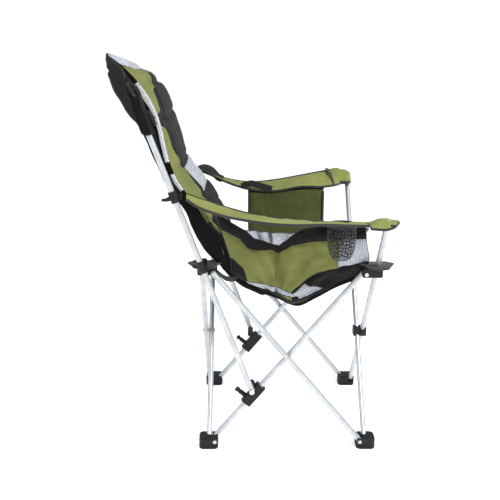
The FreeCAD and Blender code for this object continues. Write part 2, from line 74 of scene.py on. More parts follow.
class Nodes:
    """A short way to write a node tree."""

    def __init__(self, name):
        self.material = bpy.data.materials.new(name)
        self.material.use_nodes = True
        self.tree = self.material.node_tree
        self.shader = self.tree.nodes["Principled BSDF"]

    def add(self, kind, **settings):
        node = self.tree.nodes.new("ShaderNode" + kind)
        for key, value in settings.items():
            setattr(node, key, value)
        return node

    def put(self, socket, value):
        if isinstance(value, bpy.types.NodeSocket):
            self.tree.links.new(value, socket)
        else:
            socket.default_value = value

    def face(self, name, value):
        """Set one input of the material's shader."""
        self.put(self.shader.inputs[name], value)

    def math(self, operation, a, b=0.0, clamp=False):
        node = self.add("Math", operation=operation, use_clamp=clamp)
        self.put(node.inputs[0], a)
        self.put(node.inputs[1], b)
        return node.outputs[0]

    def ramp(self, value, low, high, to_low=0.0, to_high=1.0):
        node = self.add("MapRange", clamp=True)
        for index, item in enumerate((value, low, high, to_low, to_high)):
            self.put(node.inputs[index], item)
        return node.outputs[0]

    def mix(self, factor, a, b):
        node = self.add("Mix", data_type="RGBA")
        self.put(node.inputs["Factor"], factor)
        self.put(node.inputs[6], a)
        self.put(node.inputs[7], b)
        return node.outputs[2]

    def shade(self, colour, factor):
        """The colour multiplied by a grey value."""
        node = self.add("Mix", data_type="RGBA", blend_type="MULTIPLY")
        node.inputs["Factor"].default_value = 1.0
        self.put(node.inputs[6], colour)
        self.put(node.inputs[7], factor)
        return node.outputs[2]

    def noise(self, vector, scale, detail=3.0, rough=0.55):
        node = self.add("TexNoise")
        self.put(node.inputs["Vector"], vector)
        node.inputs["Scale"].default_value = scale
        node.inputs["Detail"].default_value = detail
        node.inputs["Roughness"].default_value = rough
        return node.outputs["Fac"]

    def uneven(self, scale, low, high, detail=3.0, ends=(0.3, 0.7)):
        """A value that drifts between low and high over the piece."""
        return self.ramp(self.noise(self.place(), scale, detail), *ends, low, high)

    def attribute(self, name, output="Vector"):
        return self.add("Attribute", attribute_name=name).outputs[output]

    def place(self):
        return self.add("TexCoord").outputs["Object"]

    def bump(self, height, distance, strength=1.0, below=None):
        node = self.add("Bump")
        node.inputs["Strength"].default_value = strength
        node.inputs["Distance"].default_value = distance
        self.put(node.inputs["Height"], height)
        if below is not None:
            self.put(node.inputs["Normal"], below)
        return node.outputs["Normal"]


# one turn of a wave texture of scale 1, in metres
WAVE_PITCH = 0.31416


def waves(n, vector, axis, pitch):
    """0 to 1 ribs across one axis of the cloth's own coordinates, in metres."""
    node = n.add("TexWave", wave_type="BANDS", bands_direction=axis, wave_profile="SIN")
    n.put(node.inputs["Vector"], vector)
    node.inputs["Scale"].default_value = WAVE_PITCH / pitch
    return node.outputs["Fac"]


def net(n, vector, pitch, thin=0.11):
    """0 in the holes of a knitted net, 1 on its threads."""
    cells = n.add("TexVoronoi", feature="DISTANCE_TO_EDGE")
    n.put(cells.inputs["Vector"], vector)
    cells.inputs["Scale"].default_value = 1 / pitch
    cells.inputs["Randomness"].default_value = 0.35
    return n.ramp(cells.outputs["Distance"], thin, thin * 2.4, 1.0, 0.0)


def woven(name, base, zones=(), weave=0.0012, rough=0.84, sheen=0.06, crease=0.5, vary=0.16, piping=True):
    """Coated polyester cloth. Each zone is an attribute, positive inside in millimetres, with its colour and
    whether it is knitted net; piping darkens the zones' borders."""
    n = Nodes(name)
    cloth = n.attribute("cloth")
    place = n.place()
    warp, weft = waves(n, cloth, "X", weave), waves(n, cloth, "Y", weave)
    threads = n.math("MAXIMUM", warp, weft)
    colour, net_share = base, 0.0
    for zone, tint, is_net in zones:
        depth_in = n.attribute(zone, "Fac")
        share = n.ramp(depth_in, -0.4, 0.4)
        if is_net:
            holes = net(n, cloth, NET_PITCH)
            tint = n.mix(holes, PALE_HOLES, tint)
            net_share = n.math("MAXIMUM", net_share, share)
        colour = n.mix(share, colour, tint)
        if piping:
            edge = n.ramp(n.math("ABSOLUTE", depth_in), 0.9, 1.8, 0.75, 0.0)
            colour = n.mix(edge, colour, BLACK)
    patches = n.uneven(9.0, 1 - vary, 1 + vary * 0.45)
    fine = n.uneven(160.0, 0.93, 1.06, 2.0, (0.25, 0.75))
    thread_shade = n.ramp(threads, 0.0, 1.0, 0.86, 1.05)
    tone = n.math("MULTIPLY", n.math("MULTIPLY", patches, fine), thread_shade)
    n.face("Base Color", n.shade(colour, tone))
    n.face("Roughness", n.uneven(34.0, rough - 0.08, rough + 0.08))
    n.face("Sheen Weight", sheen)
    n.face("Sheen Roughness", 0.5)
    n.face("Specular IOR Level", 0.12)
    folds = n.bump(n.noise(place, 15.0, 4.0, 0.6), 0.006 * crease)
    small = n.bump(n.noise(place, 60.0, 3.0), 0.0012 * crease, below=folds)
    n.face("Normal", n.bump(threads, 0.00025, below=small))
    return n.material


def knitted(name, base, hole_tint, pitch=0.0034, open_share=0.0, rough=0.7, thin=0.11):
    """Spacer mesh; with open_share above 0 its holes are see-through."""
    n = Nodes(name)
    cloth, place = n.attribute("cloth"), n.place()
    threads = net(n, cloth, pitch, thin)
    tone = n.uneven(12.0, 0.88, 1.06)
    n.face("Base Color", n.shade(n.mix(threads, hole_tint, base), tone))
    n.face("Roughness", n.ramp(threads, 0, 1, rough + 0.15, rough))
    n.face("Sheen Weight", 0.2)
    folds = n.bump(n.noise(place, 18.0, 4.0), 0.004)
    n.face("Normal", n.bump(threads, 0.0006, below=folds))
    if open_share:
        n.face("Alpha", n.ramp(threads, 0, 1, 1 - open_share, 1.0))
        n.material.surface_render_method = "DITHERED"
    return n.material


def ribbed_webbing(name, base, pitch=0.0022):
    n = Nodes(name)
    cloth = n.attribute("cloth")
    ribs = waves(n, cloth, "DIAGONAL", pitch)
    fine = waves(n, cloth, "Y", pitch * 0.5)
    dust = n.uneven(40.0, 0.85, 1.1)
    tone = n.math("MULTIPLY", n.ramp(ribs, 0, 1, 0.75, 1.15), dust)
    n.face("Base Color", n.shade(base, tone))
    n.face("Roughness", n.uneven(60.0, 0.68, 0.85))
    n.face("Sheen Weight", 0.2)
    n.face("Normal", n.bump(n.math("ADD", ribs, fine), 0.0004))
    return n.material


def painted_tube():
    """Silver powder paint on steel, a little worn and dusty."""
    n = Nodes("silver_tube")
    place = n.place()
    grain = n.noise(place, 900.0, 2.0)
    worn = n.noise(place, 22.0, 5.0, 0.65)
    colour = n.mix(n.ramp(worn, 0.35, 0.75), rgb(196, 201, 205), rgb(168, 173, 178))
    n.face("Base Color", n.shade(colour, n.ramp(grain, 0.2, 0.8, 0.92, 1.06)))
    n.face("Metallic", 0.6)
    n.face("Roughness", n.ramp(worn, 0.3, 0.7, 0.30, 0.44))
    n.face("Normal", n.bump(grain, 0.00006))
    return n.material


def moulded_black():
    """Fine-textured black polypropylene, greyer where it is rubbed."""
    n = Nodes("black_moulding")
    place = n.place()
    pits = n.noise(place, 1100.0, 2.0)
    rub = n.noise(place, 38.0, 4.0, 0.6)
    grey = n.mix(n.ramp(rub, 0.45, 0.8), rgb(9, 9, 10), rgb(24, 24, 26))
    n.face("Base Color", grey)
    n.face("Roughness", n.ramp(rub, 0.3, 0.7, 0.38, 0.58))
    n.face("Specular IOR Level", 0.3)
    n.face("Normal", n.bump(pits, 0.00012))
    return n.material


def plated_steel():
    """Zinc-plated bolts and springs with faint turning marks."""
    n = Nodes("plated_steel")
    place = n.place()
    marks = n.noise(place, 700.0, 3.0)
    stain = n.noise(place, 90.0, 3.0)
    zinc = n.mix(n.ramp(stain, 0.4, 0.7), rgb(206, 208, 210), rgb(165, 163, 158))
    n.face("Base Color", zinc)
    n.face("Metallic", 1.0)
    n.face("Roughness", n.ramp(marks, 0.3, 0.7, 0.22, 0.40))
    n.face("Normal", n.bump(marks, 0.00004))
    return n.material


def studio_floor():
    n = Nodes("studio_floor")
    tone = n.uneven(2.0, 0.985, 1.0)
    n.face("Base Color", n.shade((0.96, 0.96, 0.96, 1.0), tone))
    n.face("Emission Color", (1.0, 1.0, 1.0, 1.0))
    n.face("Emission Strength", 0.5)
    n.face("Roughness", 0.9)
    n.face("Specular IOR Level", 0.1)
    return n.material


TUBE, MOULDED, STEEL = painted_tube(), moulded_black(), plated_steel()
for node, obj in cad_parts.items():
    finish = STEEL if "bolt" in node or "spring" in node else MOULDED
    if "tube" in node or "back_post" in node:
        finish = TUBE
    for material_slot in obj.material_slots:
        material_slot.material = finish

BLACK_CLOTH = woven("black_cloth", BLACK, rough=0.78, crease=0.8)
CHARCOAL_CLOTH = woven("charcoal_cloth", CHARCOAL, rough=0.76, crease=1.0, sheen=0.08)
OLIVE_CLOTH = woven("olive_cloth", OLIVE, crease=0.8)
ARM_CLOTH = woven("arm_cloth", ARM_OLIVE, crease=0.5)
BAG_CLOTH = woven("bag_cloth", BAG_OLIVE, crease=1.2, rough=0.7)
BINDING = ribbed_webbing("binding_tape", rgb(26, 23, 26))
WEBBING = ribbed_webbing("black_webbing", rgb(10, 10, 11), 0.003)
PATCH_CLOTH = ribbed_webbing("patch_cloth", rgb(46, 44, 47), 0.005)
PALE_MESH = knitted("pale_mesh", PALE, PALE_HOLES, NET_PITCH)
POUCH_MESH = knitted("pouch_mesh", rgb(20, 20, 22), rgb(8, 8, 9), 0.0095, 0.95, thin=0.075)
SPLIT = [("zone_dark", CHARCOAL, False), ("zone_pale", PALE, True)]
BACK_FACE = woven("back_face_cloth", OLIVE, SPLIT, crease=0.8)
SIDE_FACE = woven("side_face_cloth", OLIVE, SPLIT, crease=1.0)
SEAT_SPLIT = [("zone_olive", OLIVE, False), ("zone_pale", PALE, True)]
SEAT_FACE = woven("seat_face_cloth", CHARCOAL, SEAT_SPLIT, crease=0.8)
# black cloth of the back's edge strip; its pale lengths are drawn whiter than PALE: painted light, as if lit
# from the side
STRIP_FACE_PAINTED_LIGHT = woven("strip_face_cloth_painted_light", BLACK, [("zone_pale", rgb(236, 239, 243), True)], crease=0.6,
                   piping=False)


# ---- shapes --------------------------------------------------------------------------------------
def smooth(table, key):
    """Values of a table at key, its first column, on a smooth curve through its rows."""
    table = np.array(table, float)
    t, values = table[:, 0], table[:, 1:]
    slopes = np.gradient(values, t, axis=0)
    key = np.clip(np.asarray(key, float), t[0], t[-1])
    row = np.clip(np.searchsorted(t, key, side="right") - 1, 0, len(t) - 2)
    width = t[row + 1] - t[row]
    f = ((key - t[row]) / width)[..., None]
    w = width[..., None]
    a, b = values[row], values[row + 1]
    return ((2 * f**3 - 3 * f**2 + 1) * a + (f**3 - 2 * f**2 + f) * slopes[row] * w
            + (3 * f**2 - 2 * f**3) * b + (f**3 - f**2) * slopes[row + 1] * w)


def numbered(rows):
    """Rows with their own number in front, as smooth() reads them."""
    return [(i, *row) for i, row in enumerate(rows)]


def inside(polygon, y, z):
    """Signed distance in the plane, positive inside the polygon."""
    points = np.array(polygon, float)
    best = np.full(np.shape(y), 1e9)
    crossings = np.zeros(np.shape(y), bool)
    for a, b in zip(points, np.roll(points, -1, axis=0)):
        edge = b - a
        share = np.clip(((y - a[0]) * edge[0] + (z - a[1]) * edge[1]) / max(edge @ edge, 1e-9), 0, 1)
        best = np.minimum(best, np.hypot(y - a[0] - share * edge[0], z - a[1] - share * edge[1]))
        above = (a[1] > z) != (b[1] > z)
        rise = edge[1] if abs(edge[1]) > 1e-9 else 1e-9
        crossings ^= above & (y < a[0] + (z - a[1]) * edge[0] / rise)
    return np.where(crossings, best, -best)


def grid_of(x, y, z):
    """Points from their coordinates, spread over one grid."""
    return np.stack(np.broadcast_arrays(x, y, z), axis=-1)


def normals_of(grid):
    along = np.gradient(grid, axis=0)
    across = np.gradient(grid, axis=1)
    normal = np.cross(across, along)
    return normal / np.maximum(np.linalg.norm(normal, axis=2, keepdims=True), 1e-9)


def wrinkled(grid, size, depth, seed, keep_edge=True):
    """The grid moved along its normals by smooth noise: size of the folds and their depth in millimetres."""
    normal = normals_of(grid)
    rows, columns = grid.shape[:2]
    out = grid.copy()
    for i in range(rows):
        for j in range(columns):
            p = Vector(grid[i, j] / size) + Vector((seed * 7.3, seed * 3.1, seed * 1.7))
            lift = noise.noise(p) + 0.5 * noise.noise(p * 2.3)
            if keep_edge:
                lift *= min(1.0, i / 3, j / 3, (rows - 1 - i) / 3, (columns - 1 - j) / 3)
            out[i, j] += normal[i, j] * lift * depth
    return out


def run_along(line):
    """Distance in metres from a line's start to each of its points."""
    steps = np.linalg.norm(np.diff(line, axis=0), axis=1)
    return np.concatenate([[0], np.cumsum(steps)]) * MM


def lengths(grid):
    """The cloth's own coordinates in metres, measured along the middle row and column."""
    rows, columns = grid.shape[:2]
    u, v = run_along(grid[rows // 2]), run_along(grid[:, columns // 2])
    return grid_of(u[None, :], v[:, None], 0.0)


def make(name, points, faces, cloth, materials, indices, zones=None):
    mesh = bpy.data.meshes.new(name)
    points = np.array(points, float) * MM
    points[:, 1] += MIDDLE_Y
    mesh.from_pydata([tuple(p) for p in points], [], faces)
    for material in materials:
        mesh.materials.append(material)
    mesh.polygons.foreach_set("material_index", indices)
    mesh.polygons.foreach_set("use_smooth", [True] * len(faces))
    attribute = mesh.attributes.new("cloth", "FLOAT_VECTOR", "POINT")
    attribute.data.foreach_set("vector", np.array(cloth, np.float32).ravel())
    for zone, values in (zones or {}).items():
        attribute = mesh.attributes.new(zone, "FLOAT", "POINT")
        attribute.data.foreach_set("value", np.array(values, np.float32).ravel())
    mesh.validate()
    mesh.update()
    obj = bpy.data.objects.new(name, mesh)
    bpy.context.collection.objects.link(obj)
    return obj


def corners_of(i, j, columns, wrap=False):
    """The four vertex numbers of one cell of a grid; wrap joins the last column to the first."""
    k = (j + 1) % columns if wrap else j + 1
    return i * columns + j, i * columns + k, (i + 1) * columns + k, (i + 1) * columns + j


def border(rows, columns):
    """The rows and columns around a grid's edge, in order."""
    there = [(0, j) for j in range(columns)] + [(i, columns - 1) for i in range(1, rows)]
    back = [(rows - 1, j) for j in range(columns - 2, -1, -1)] + [(i, 0) for i in range(rows - 2, 0, -1)]
    return there + back


def double_walled(name, outer, inner, coords, materials):
    """A closed cup between two grids whose columns run around it: walls, floor and upper edge.
    materials are for the outside, the inside and the edge, or one for all."""
    rows, columns = outer.shape[:2]
    count, last = rows * columns, (rows - 1) * columns
    faces, indices = [], []
    for i in range(rows - 1):
        for j in range(columns):
            a, b, c, d = corners_of(i, j, columns, wrap=True)
            faces += [(a, b, c, d), (count + a, count + d, count + c, count + b)]
            indices += [0, 1]
    faces += [tuple(range(columns - 1, -1, -1)), tuple(count + j for j in range(columns))]
    indices += [0, 1]
    for j in range(columns):
        k = (j + 1) % columns
        faces.append((last + j, last + k, count + last + k, count + last + j))
        indices.append(2)
    if len(materials) == 1:
        indices = [0] * len(faces)
    points = np.concatenate([outer.reshape(-1, 3), inner.reshape(-1, 3)])
    return make(name, points, faces, np.concatenate([coords, coords]), materials, indices)


def pad(name, front, rear, materials, zones=None, rim_zones=None, rim=1.5):
    """A closed piece between two grids of the same size; its rim bulges out by rim millimetres.
    materials are for the front, the rear and the rim. rim_zones replaces a zone's values around the rim."""
    rows, columns = front.shape[:2]
    count = rows * columns
    cloth = lengths(front)
    points = [front.reshape(-1, 3), rear.reshape(-1, 3)]
    coords = [cloth.reshape(-1, 3), cloth.reshape(-1, 3)]
    faces, indices = [], []
    for i in range(rows - 1):
        for j in range(columns - 1):
            a, b, c, d = corners_of(i, j, columns)
            faces += [(a, b, c, d), (count + a, count + d, count + c, count + b)]
            indices += [0, 1]
    loop = border(rows, columns)
    middle = []
    for i, j in loop:
        inner = (min(max(i, 1), rows - 2), min(max(j, 1), columns - 2))
        out = (front[i, j] - front[inner]) + (rear[i, j] - rear[inner])
        out /= max(np.linalg.norm(out), 1e-9)
        middle.append((front[i, j] + rear[i, j]) / 2 + out * rim)
    middle = np.array(middle)
    edges = [np.array([front[i, j] for i, j in loop]), middle, np.array([rear[i, j] for i, j in loop])]
    around = run_along(middle)
    ring = len(loop)
    for row, edge in enumerate(edges):
        points.append(edge)
        breadth = np.linalg.norm(edges[0] - edges[2], axis=1) * MM * row / 2
        coords.append(np.stack([breadth, around, around * 0], axis=1))
    start = 2 * count
    for row in (0, 1):
        for k in range(ring):
            a, b = start + row * ring + k, start + row * ring + (k + 1) % ring
            faces.append((a, a + ring, b + ring, b))
            indices.append(2)
    all_zones = {}
    for zone, values in (zones or {}).items():
        own = (rim_zones or {}).get(zone, {})
        ring_values = np.array([own.get(k, values[i, j]) for k, (i, j) in enumerate(loop)])
        all_zones[zone] = np.concatenate([values.ravel(), values.ravel(), np.tile(ring_values, 3)])
    return make(name, np.concatenate(points), faces, np.concatenate(coords), materials, indices, all_zones)


def strip(name, path, side, width, thick, material, sides=10):
    """A flat strap or tape swept along path; side is the direction of its width, one or per point."""
    path = np.array(path, float)
    side = np.broadcast_to(np.array(side, float), path.shape)
    way = np.gradient(path, axis=0)
    way /= np.linalg.norm(way, axis=1, keepdims=True)
    side = side - way * np.sum(side * way, axis=1, keepdims=True)
    side = side / np.linalg.norm(side, axis=1, keepdims=True)
    up = np.cross(way, side)
    angles = np.arange(sides) * 2 * math.pi / sides
    c, s = np.cos(angles), np.sin(angles)
    flat = np.sign(c) * np.abs(c) ** 0.5 * width / 2
    high = np.sign(s) * np.abs(s) ** 0.7 * thick / 2
    points = path[:, None] + side[:, None] * flat[None, :, None] + up[:, None] * high[None, :, None]
    n = len(path)
    faces = [corners_of(i, k, sides, wrap=True) for i in range(n - 1) for k in range(sides)]
    faces += [tuple(range(sides - 1, -1, -1)), tuple((n - 1) * sides + k for k in range(sides))]
    run = run_along(path)
    coords = grid_of(flat[None, :] * MM, run[:, None], 0.0).reshape(-1, 3)
    return make(name, points.reshape(-1, 3), faces, coords, [material], [0] * len(faces))


def dense(points, count=40):
    """A smooth open line through the points."""
    return smooth(numbered(points), np.linspace(0, len(points) - 1, count))


# ---- how the cloth follows the folding frame -----------------------------------------------------
def hang(piece, body, others=None, replaced=()):
    """piece rides on body, and is drawn towards other bodies by the share that each has at a vertex."""
    count = len(piece.data.vertices)
    places = np.zeros(count * 3)
    piece.data.vertices.foreach_get("co", places)
    places = places.reshape(-1, 3)
    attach(piece, body)
    for other, share in (others or {}).items():
        if other == body:
            continue
        weights = np.clip(share(places), 0, 1)
        group = piece.vertex_groups.new(name=other)
        for index, weight in enumerate(weights):
            if weight > 0.001:
                group.add([index], float(weight), "REPLACE")
        hook = piece.modifiers.new("to_" + other, "HOOK")
        hook.object = anchor_of(other)
        hook.vertex_group = other
        hook.strength = 1.0
        hook.falloff_type = "NONE"
        hook.matrix_inverse = hook.object.matrix_world.inverted() @ piece.matrix_world
    if replaced:
        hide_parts(*replaced)
    return piece


ANCHORS = {}


def anchor_of(body):
    if body not in ANCHORS:
        empty = bpy.data.objects.new("anchor_" + body, None)
        bpy.context.collection.objects.link(empty)
        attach(empty, body)
        bpy.context.view_layer.update()
        ANCHORS[body] = empty
    return ANCHORS[body]


HUBS_X = 214 * MM
HUBS_Y = (214 * MM + MIDDLE_Y, -214 * MM + MIDDLE_Y)


def hub_shares():
    """Each hub's share of a point, by where it is between the four of them."""
    shares = {}
    for end, name in ((0, "rear"), (1, "front")):
        for side, sign in SIDES.items():
            def share(p, end=end, sign=sign):
                x = np.clip(0.5 + sign * p[:, 0] / (2 * HUBS_X), 0, 1)
                y = np.clip((p[:, 1] - HUBS_Y[0]) / (HUBS_Y[1] - HUBS_Y[0]), 0, 1)
                return x * (y if end else 1 - y)
            shares[f"hub_{name}_{side}"] = share
    return shares


POST_SPAN = 263 * MM


def left_post_share(p):
    return np.clip(0.5 + p[:, 0] / (2 * POST_SPAN), 0, 1)


def back_shares(low, high):
    """The back hangs on the posts, and below it turns into the bucket, which the rear hubs carry."""
    def risen(p):
        t = np.clip((p[:, 2] / MM - low) / (high - low), 0, 1)
        return t * t * (3 - 2 * t)
    return {"post_left": lambda p: risen(p) * left_post_share(p),
            "hub_rear_left": lambda p: (1 - risen(p)) * left_post_share(p),
            "hub_rear_right": lambda p: (1 - risen(p)) * (1 - left_post_share(p))}


# ---- backrest ------------------------------------------------------------------------------------
BACK_HALF = 243.0
# crown Y, Z and edge Y, Z from the seat up to the top
BACK_ROWS = [(176, 574, 186, 590), (184, 632, 198, 632), (204, 688, 232, 684), (232, 743, 266, 738),
             (270, 790, 303, 790), (297, 838, 325, 838), (312, 890, 338, 890), (327, 942, 349, 945),
             (341, 988, 366, 995), (356, 1027, 384, 1028), (384, 1068, 408, 1060), (418, 1098, 436, 1090),
             (453, 1119, 462, 1112), (487, 1132, 490, 1131)]
BACK_SEAMS = [1106, 1060, 965, 828, 745, 680]
SIDE_SEAM = 176
# where the dark middle reaches on the sitter's left near the top, further out than on the right: the charcoal
# middle is the cloth's own, the extra reach is painted shade in the crease under the headrest. Height, share
# of the half width
FAR_DARK_AND_SHADE = ([1050, 1092], [0.87, -0.1])
# the headrest's lower border across the back: share of the half width, height
HEADREST_LOW = ([-1, -0.6, -0.1, 0.4, 1], [1114, 1106, 1085, 1084, 1096])
# low and high end of each white length of the edge strip, whiter than the other pale cloth as painted light,
# and of the pale patch on the back
EDGE_STRIPS = [(850, 1060), (774, 818)]
BACK_PATCH = (749, 822)


def dark_half_width(z):
    """Half width of the charcoal middle of the back by height, as a share of the back's."""
    table = [(600, .78), (700, .72), (745, .62), (785, .55), (812, .53), (850, .64), (880, .80), (905, .84),
             (930, .90), (949, 1.03), (967, 1.03), (981, .88), (996, .84), (1015, .80), (1045, .66),
             (1062, .34), (1085, .22), (1104, -.05), (1140, -.1)]
    return smooth(table, z)[..., 0]


def back_grids(rows=112, columns=81):
    t = np.linspace(0, len(BACK_ROWS) - 1, rows)
    line = smooth(numbered(BACK_ROWS), t)
    u = np.linspace(-1, 1, columns)
    u = np.sign(u) * (1 - (1 - np.abs(u)) ** 1.25)
    swell = (1 - np.abs(u) ** 2.6) ** 0.62
    y = line[:, None, 2] + (line[:, None, 0] - line[:, None, 2]) * swell[None, :]
    z = line[:, None, 3] + (line[:, None, 1] - line[:, None, 3]) * swell[None, :]
    corner = smooth([(0, 14), (2, 4), (4, 0), (10, 0), (11, 2), (12, 5), (13, 14)], t)[:, 0]
    half = BACK_HALF - corner
    x = half[:, None] * u[None, :]
    return t, line, grid_of(x, y, z), u


def far_slack(grid, from_z=690.0, full_z=800.0, drop=25.0):
    """The cloth is a little slack on the sitter's left: that edge lies further back, and lower at the top."""
    x, y, z = grid[..., 0], grid[..., 1], grid[..., 2]
    share = np.clip((x + BACK_HALF) / (2 * BACK_HALF), 0, 1.1) ** 1.3
    risen = np.clip((z - from_z) / (full_z - from_z), 0, 1)
    top = np.clip((z - 1010) / 120, 0, 1) ** 1.5
    return grid_of(x, y + 14 * share * risen, z - drop * share * top)


def between(value, low, high):
    """Distance inside a range, positive within it."""
    return np.minimum(value - low, high - value)


def groove(distance, width=7.0):
    """1 on a seam, falling to 0 a width away."""
    return np.exp(-(distance / width) ** 2)


def backrest():
    t, line, front, u = back_grids()
    crown_z = line[:, 1]
    lateral = np.abs(front[..., 0])
    z = np.broadcast_to(crown_z[:, None], lateral.shape)
    depth = np.zeros(lateral.shape)
    for seam in BACK_SEAMS:
        depth += 8.0 * groove(z - seam, 9.0)
    # on the sitter's left the charcoal reaches further out near the top: painted shade in the crease under
    # the headrest
    near, far_with_shade = dark_half_width(z), np.maximum(dark_half_width(z), np.interp(z, *FAR_DARK_AND_SHADE))
    dark = np.where(u[None, :] < 0, near + u[None, :], far_with_shade - u[None, :]) * BACK_HALF
    depth += 3.0 * groove(dark, 6.0) * (lateral < 225)
    depth += 5.0 * groove(lateral - SIDE_SEAM, 7.0)
    normal = normals_of(front)
    if normal[len(t) // 2, len(u) // 2, 1] > 0:
        normal = -normal
    fade = np.minimum(1, (1 - np.abs(u)) / 0.05)[None, :]
    front = front - normal * (depth * fade)[..., None]
    front = wrinkled(front, 62, 3.2, 1)
    headrest = z - np.interp(u, *HEADREST_LOW)[None, :]
    slant = 118 + front[..., 0] + (z - 785) * 0.35
    pale = np.maximum(headrest, np.minimum(slant, between(z, *BACK_PATCH)))
    edge_way = np.gradient(line[:, 2:], axis=0)
    edge_way /= np.linalg.norm(edge_way, axis=1, keepdims=True)
    behind = np.stack([edge_way[:, 1], -edge_way[:, 0]], axis=1)
    deep = smooth([(0, 12), (2, 13), (4, 13), (6, 13), (8, 14), (9.5, 18), (11, 9), (13, 4)], t)[:, 0]
    rear = np.empty_like(front)
    rear[..., 0] = front[..., 0] * 0.992
    for axis in (0, 1):
        rear[..., axis + 1] = (line[:, 2 + axis] + behind[:, axis] * deep)[:, None]
    edge_z = line[:, 3]
    rows, columns = lateral.shape
    band = np.maximum(*(between(edge_z, *ends) for ends in EDGE_STRIPS))
    # the pale lengths along the rim take the strip's whiter pale: painted light
    rim_pale_painted_light = {k: (band[i] if j in (0, columns - 1) else -20.0)
                for k, (i, j) in enumerate(border(rows, columns))}
    front, rear = far_slack(front), far_slack(rear)
    piece = pad("backrest_pad", front, rear, [BACK_FACE, BLACK_CLOTH, STRIP_FACE_PAINTED_LIGHT],
                {"zone_dark": dark, "zone_pale": pale}, {"zone_pale": rim_pale_painted_light}, rim=2.0)
    return hang(piece, "post_right", back_shares(600, 760), ["backrest"])


# height, front Y, rear Y, half width
SHELL_ROWS = [(452, 62, 86, 172), (480, 104, 136, 181), (509, 132, 169, 193), (562, 160, 211, 213),
              (594, 172, 238, 224), (629, 186, 258, 235), (669, 216, 276, 243), (708, 250, 290, 248),
              (745, 277, 315, 249), (795, 319, 347, 249), (838, 341, 367, 249), (885, 354, 386, 249),
              (930, 364, 404, 249), (965, 377, 414, 249), (1000, 388, 424, 248), (1040, 404, 434, 246)]


def shell_grids(table, rows, columns):
    """Front and rear grids of a shallow shell, from the table's first height to its last."""
    z = np.linspace(table[0][0], table[-1][0], rows)
    front_y, rear_y, half = smooth(table, z).T
    u = np.linspace(-1, 1, columns)
    x = half[:, None] * np.sign(u) * (1 - (1 - np.abs(u)) ** 1.4)
    tuck = 6 * np.abs(u) ** 8
    front = grid_of(x, front_y[:, None] + tuck[None, :], z[:, None])
    rear = grid_of(x, rear_y[:, None] - tuck[None, :], z[:, None])
    return front, rear


def back_shell():
    front, rear = shell_grids(SHELL_ROWS, 84, 61)
    z = rear[..., 2]
    # the cloth bags out between the posts, where a sitter's back would push it
    rear[..., 1] += 8 * groove(rear[..., 0], 150) * groove(z - 700, 120)
    rear = wrinkled(rear, 75, 4.0, 3)
    piece = pad("back_shell", front, rear, [BLACK_CLOTH] * 3, rim=3.0)
    return hang(piece, "post_right", back_shares(560, 740))


# height, front Y, rear Y, half width of the black sleeves over the post tops
SLEEVE_ROWS = [(926, 368, 402, 277), (960, 378, 416, 278), (1000, 392, 428, 277), (1040, 404, 438, 275),
               (1066, 426, 446, 270), (1080, 438, 450, 264)]


def post_sleeves():
    front, rear = shell_grids(SLEEVE_ROWS, 26, 61)
    rear = wrinkled(rear, 34, 5.0, 5)
    front = wrinkled(front, 30, 4.0, 6)
    front, rear = far_slack(front, 960, 1040, 60.0), far_slack(rear, 960, 1040, 60.0)
    piece = pad("post_sleeves", front, rear, [BLACK_CLOTH] * 3, rim=4.0)
    return hang(piece, "post_right", {"post_left": left_post_share})


# front Y, Z and rear Y, Z of the hood from its lower hem up
HOOD_ROWS = [(396, 934, 405, 936), (407, 958, 421, 958), (418, 992, 443, 985), (427, 1026, 458, 1013),
             (434, 1058, 474, 1050), (443, 1088, 488, 1086), (464, 1110, 492, 1112), (487, 1130, 494, 1134)]

HOOD_SEAM = 1089


def hood():
    t = np.linspace(0, len(HOOD_ROWS) - 1, 44)
    line = smooth(numbered(HOOD_ROWS), t)
    u = np.linspace(-1, 1, 71)
    side = np.sign(u) * (1 - (1 - np.abs(u)) ** 1.5)
    half = smooth([(0, 279), (3, 281), (5, 276), (6, 262), (6.6, 248), (7, 240)], t)[:, 0]
    x = half[:, None] * side[None, :]
    rounding = 9 * np.abs(side) ** 14
    front = grid_of(x, line[:, 0:1], line[:, 1:2])
    rear = grid_of(x, line[:, 2:3] - rounding[None, :], line[:, 3:4])
    rear[..., 1] -= 5.0 * groove(rear[..., 2] - HOOD_SEAM, 4.0)
    rear = wrinkled(rear, 55, 4.0, 8)
    front, rear = far_slack(front, 1040, 1060), far_slack(rear, 1040, 1060)
    piece = pad("back_hood", front, rear, [CHARCOAL_CLOTH] * 3, rim=2.5)
    return hang(piece, "post_right", {"post_left": left_post_share})


# ---- seat bucket ---------------------------------------------------------------------------------
# outlines in Y and Z: the upper band's edges, the bottom, and the charcoal and pale areas of the side panels
BAND_TOP = [(204, 713), (168, 687), (120, 656), (100, 635), (68, 625), (31, 607), (-4, 643), (-27, 661),
            (-90, 674), (-201, 678)]
BAND_LOW = [(198, 668), (180, 661), (140, 638), (116, 607), (91, 600), (51, 602), (33, 586), (-5, 616),
            (-45, 625), (-92, 630), (-205, 640)]
BOTTOM = [(186, 548), (148, 506), (105, 479), (31, 450), (-27, 424), (-78, 450), (-139, 489), (-214, 523)]
# upper edge of each side's cloth, Y and Z
SIDE_TOP = {"right": BAND_TOP,
            "left": [(206, 570), (118, 558), (18, 552), (-22, 548), (-100, 560), (-214, 574)]}
